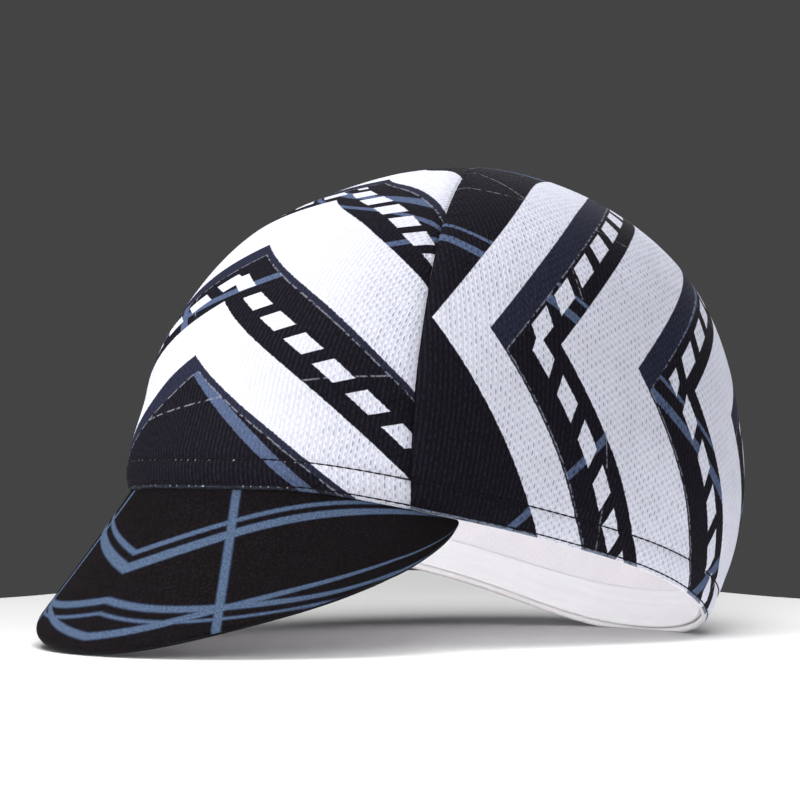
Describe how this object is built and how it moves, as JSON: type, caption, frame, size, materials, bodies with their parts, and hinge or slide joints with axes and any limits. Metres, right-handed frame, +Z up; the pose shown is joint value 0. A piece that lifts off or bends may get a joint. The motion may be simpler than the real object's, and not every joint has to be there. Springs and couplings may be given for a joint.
{
  "type": "cycling cap",
  "caption": "Soft knitted cycling cap with a domed crown of sewn panels, a short turned-down peak and a white band inside the rim, worn on the head.",
  "frame": {"origin": "centre of the footprint's box, on the surface that the cap stands on", "axes": "+Z up as the cap stands, -Y towards the peak, +X towards the wearer's left"},
  "size_m": [0.1544, 0.2304, 0.1441],
  "materials": {
    "crown_knit": "thin printed polyester mesh knit in white, near-black, slate and steel blue, matt",
    "peak_cloth": "smooth fine woven cover, near-black with steel-blue stripes, over a thin stiff sheet",
    "band_cloth": "soft white knitted band, matt"
  },
  "bodies": {
    "root": {"front_panel": "crown_knit", "side_panel_left": "crown_knit", "side_panel_right": "crown_knit", "peak": "peak_cloth", "sweatband": "band_cloth"}
  },
  "joints": []
}
